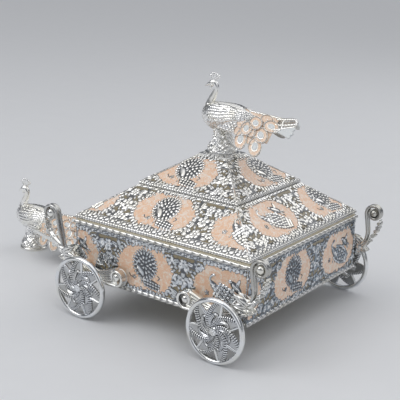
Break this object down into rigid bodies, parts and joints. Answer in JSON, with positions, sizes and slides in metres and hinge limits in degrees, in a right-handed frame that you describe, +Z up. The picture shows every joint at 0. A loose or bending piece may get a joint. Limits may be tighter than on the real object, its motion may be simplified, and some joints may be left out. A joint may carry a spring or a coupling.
{
  "type": "paan box",
  "caption": "Square wheeled box for betel leaf with a stepped pyramid lid, a bird knob, scroll brackets, swirl-petal wheels and a bird at the front that draws it.",
  "frame": {"origin": "on the ground, in the middle of the whole footprint from the front bird's beak to the rear scrolls", "axes": "+Z up, -X the way that the chariot travels, -Y its left side"},
  "size_m": [0.3084, 0.1856, 0.1773],
  "materials": {
    "silver_casting": "cast brass, silver plated and polished, with engraved relief",
    "silver_moulding": "drawn brass strip, silver plated",
    "wheel_casting": "cast brass, silver plated, darkened in the recesses",
    "enamelled_sheet": "stamped sheet in relief, silver plated, with peach, khaki and pearl enamel",
    "enamelled_train": "cast feathers, silver plated, with peach and pearl enamel",
    "plain_sheet": "plain sheet, lightly tarnished",
    "tray_lining": "cream lacquered sheet",
    "steel_fittings": "plain steel",
    "bush_brass": "turned brass"
  },
  "bodies": {
    "chassis": {"base_plate": "plain_sheet", "corner_angles": "plain_sheet", "inner_tray": "tray_lining", "foot_moulding": "silver_moulding", "top_rim": "silver_moulding", "wall_panel_rear": "enamelled_sheet", "wall_panel_right": "enamelled_sheet", "wall_panel_front": "enamelled_sheet", "wall_panel_left": "enamelled_sheet", "front_axle": "steel_fittings", "rear_axle": "steel_fittings", "axle_washers": "steel_fittings", "axle_buttons": "steel_fittings", "axle_saddles": "plain_sheet", "saddle_rivets": "steel_fittings", "scroll_bracket_front_left": "silver_casting", "scroll_bracket_front_right": "silver_casting", "scroll_bracket_rear_left": "silver_casting", "scroll_bracket_rear_right": "silver_casting", "bracket_rivets": "steel_fittings", "draw_bird_foot": "silver_moulding", "draw_bird_stud": "steel_fittings", "draw_bird_pedestal": "silver_casting", "draw_bird_body": "silver_casting", "draw_bird_train": "enamelled_train", "draw_bird_crest": "silver_casting", "draw_arm_left": "silver_casting", "draw_arm_right": "silver_casting"},
    "lid": {"lid_rim": "silver_moulding", "lid_collar": "silver_moulding", "lid_lower_panel_rear": "enamelled_sheet", "lid_lower_panel_right": "enamelled_sheet", "lid_lower_panel_front": "enamelled_sheet", "lid_lower_panel_left": "enamelled_sheet", "lid_upper_panel_rear": "enamelled_sheet", "lid_upper_panel_right": "enamelled_sheet", "lid_upper_panel_front": "enamelled_sheet", "lid_upper_panel_left": "enamelled_sheet", "ridge_moulding": "silver_moulding", "lid_cap": "silver_moulding", "knob_pedestal": "silver_casting", "knob_bird_body": "silver_casting", "knob_bird_train": "enamelled_train", "knob_bird_crest": "silver_casting", "knob_stud": "steel_fittings", "knob_nut": "steel_fittings"},
    "wheel_front_left": {"wheel_front_left": "wheel_casting", "wheel_bush_front_left": "bush_brass"},
    "wheel_front_right": {"wheel_front_right": "wheel_casting", "wheel_bush_front_right": "bush_brass"},
    "wheel_rear_left": {"wheel_rear_left": "wheel_casting", "wheel_bush_rear_left": "bush_brass"},
    "wheel_rear_right": {"wheel_rear_right": "wheel_casting", "wheel_bush_rear_right": "bush_brass"}
  },
  "joints": [
    {"name": "lid_lift", "type": "slide", "parent": "chassis", "child": "lid", "axis": [0, 0, 1], "range_m": [0, 0.08]},
    {"name": "wheel_front_left_spin", "type": "hinge", "parent": "chassis", "child": "wheel_front_left", "pos_m": [-0.00089, -0.0891, 0.0234], "axis": [0, 1, 0], "continuous": true},
    {"name": "wheel_front_right_spin", "type": "hinge", "parent": "chassis", "child": "wheel_front_right", "pos_m": [-0.00089, 0.0891, 0.0234], "axis": [0, 1, 0], "continuous": true},
    {"name": "wheel_rear_left_spin", "type": "hinge", "parent": "chassis", "child": "wheel_rear_left", "pos_m": [0.11891, -0.0891, 0.0234], "axis": [0, 1, 0], "continuous": true},
    {"name": "wheel_rear_right_spin", "type": "hinge", "parent": "chassis", "child": "wheel_rear_right", "pos_m": [0.11891, 0.0891, 0.0234], "axis": [0, 1, 0], "continuous": true}
  ]
}
